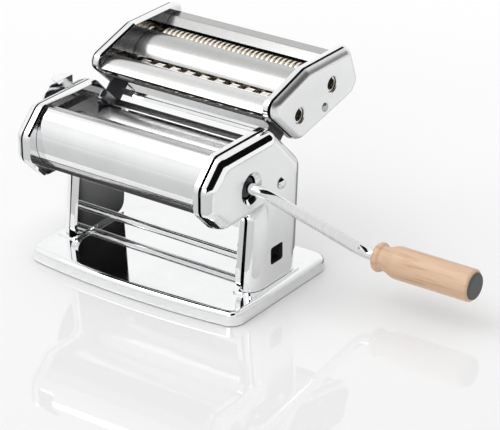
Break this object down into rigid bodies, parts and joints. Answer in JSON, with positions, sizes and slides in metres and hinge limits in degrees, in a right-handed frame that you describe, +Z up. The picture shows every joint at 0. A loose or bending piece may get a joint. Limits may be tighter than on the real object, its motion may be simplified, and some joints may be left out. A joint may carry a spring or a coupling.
{
  "type": "pasta roller",
  "caption": "Hand-cranked pasta roller with a thickness dial, a removable crank with a wooden grip and a slide-on noodle cutter head, standing on a low tray base.",
  "frame": {"origin": "on the table plane, under the middle of the base tray", "axes": "+X along the rollers towards the crank, -Y the rounded front, +Z up"},
  "size_m": [0.3653, 0.2063, 0.172],
  "materials": {
    "chrome": "mirror-bright plated sheet steel",
    "polished_steel": "polished bar and tube",
    "steel": "plain machined steel",
    "cutter_metal": "satin, slightly warm",
    "bush_plastic": "dark moulded bearing plastic",
    "wood": "pale beech, thin satin varnish",
    "dark_cap": "dark grey end cap",
    "rubber": "matt"
  },
  "bodies": {
    "frame": {"base_plate": "chrome", "base_feet": "rubber", "base_screws": "steel", "foot_plates": "chrome", "side_plate_left": "chrome", "side_plate_right": "chrome", "side_cover_left": "chrome", "side_cover_right": "chrome", "front_cover": "chrome", "front_scraper": "steel", "rear_cover": "chrome", "rear_scraper": "steel", "end_guards": "chrome", "tie_rods": "polished_steel", "tie_nuts": "steel", "drive_bush_left": "bush_plastic", "drive_bush_right": "bush_plastic", "eccentric_bush_left": "bush_plastic", "eccentric_bush_right": "bush_plastic", "index_plate": "steel", "cutter_guides": "steel"},
    "drive_roller": {"drive_roller": "polished_steel", "drive_journal_left": "steel", "drive_journal_right": "steel", "drive_gear": "steel"},
    "crank": {"crank_rod": "polished_steel"},
    "grip": {"wood_grip": "wood", "grip_cap": "dark_cap"},
    "dial_shaft": {"eccentric_shaft": "polished_steel", "shaft_cap": "polished_steel", "dial_cap": "polished_steel", "dial_spring": "steel"},
    "dial": {"dial": "chrome"},
    "carrier": {"roller_sleeve": "steel"},
    "adjust_roller": {"adjust_roller": "polished_steel", "adjust_hubs": "steel", "adjust_gear": "steel"},
    "cutter_head": {"cutter_plate_left": "chrome", "cutter_plate_right": "chrome", "cutter_cover_left": "chrome", "cutter_cover_right": "chrome", "cutter_front_cover": "chrome", "cutter_middle_cover": "chrome", "cutter_rear_cover": "chrome", "cutter_lower_sheet": "chrome", "cutter_tie_rods": "polished_steel", "cutter_screws": "steel", "cutter_bushes": "bush_plastic", "cutter_rails": "steel", "wide_comb": "bush_plastic", "fine_comb": "bush_plastic"},
    "wide_drive": {"wide_cutter_drive": "cutter_metal", "wide_gear_drive": "steel"},
    "wide_idle": {"wide_cutter_idle": "cutter_metal", "wide_gear_idle": "steel"},
    "fine_drive": {"fine_cutter_drive": "cutter_metal", "fine_gear_drive": "steel"},
    "fine_idle": {"fine_cutter_idle": "cutter_metal", "fine_gear_idle": "steel"}
  },
  "joints": [
    {"name": "crank_turn", "type": "hinge", "parent": "frame", "child": "drive_roller", "pos_m": [0, -0.0365, 0.105], "axis": [1, 0, 0], "continuous": true},
    {"name": "crank_pull", "type": "slide", "parent": "drive_roller", "child": "crank", "axis": [1, 0, 0], "range_m": [0, 0.036]},
    {"name": "grip_spin", "type": "hinge", "parent": "crank", "child": "grip", "pos_m": [0.2, 0.03764, 0.0373], "axis": [1, 0, 0], "continuous": true},
    {"name": "dial_turn", "type": "hinge", "parent": "frame", "child": "dial_shaft", "pos_m": [0, 0.00252, 0.09489], "axis": [-1, 0, 0], "range_deg": [0, 120]},
    {"name": "dial_pull", "type": "slide", "parent": "dial_shaft", "child": "dial", "axis": [-1, 0, 0], "range_m": [0, 0.004], "deforming": ["dial_spring"]},
    {"name": "carrier_hold", "type": "hinge", "parent": "dial_shaft", "child": "carrier", "pos_m": [0, 0.00168, 0.09569], "axis": [-1, 0, 0], "range_deg": [-120, 0]},
    {"name": "rear_roller_turn", "type": "hinge", "parent": "carrier", "child": "adjust_roller", "pos_m": [0, 0.00168, 0.09569], "axis": [1, 0, 0], "continuous": true},
    {"name": "cutter_slide", "type": "slide", "parent": "frame", "child": "cutter_head", "axis": [0, -0.7071, 0.7071], "range_m": [0, 0.045]},
    {"name": "wide_turn", "type": "hinge", "parent": "cutter_head", "child": "wide_drive", "pos_m": [0, 0.0345, 0.1382], "axis": [1, 0, 0], "continuous": true},
    {"name": "wide_idle_turn", "type": "hinge", "parent": "cutter_head", "child": "wide_idle", "pos_m": [0, 0.05401, 0.13297], "axis": [1, 0, 0], "continuous": true},
    {"name": "fine_turn", "type": "hinge", "parent": "cutter_head", "child": "fine_drive", "pos_m": [0, 0.079, 0.1492], "axis": [1, 0, 0], "continuous": true},
    {"name": "fine_idle_turn", "type": "hinge", "parent": "cutter_head", "child": "fine_idle", "pos_m": [0, 0.09851, 0.14397], "axis": [1, 0, 0], "continuous": true}
  ],
  "couplings": [
    {"joint": "rear_roller_turn", "follows": "crank_turn", "ratio": -1},
    {"joint": "carrier_hold", "follows": "dial_turn", "ratio": -1},
    {"joint": "wide_idle_turn", "follows": "wide_turn", "ratio": -1},
    {"joint": "fine_idle_turn", "follows": "fine_turn", "ratio": -1}
  ]
}
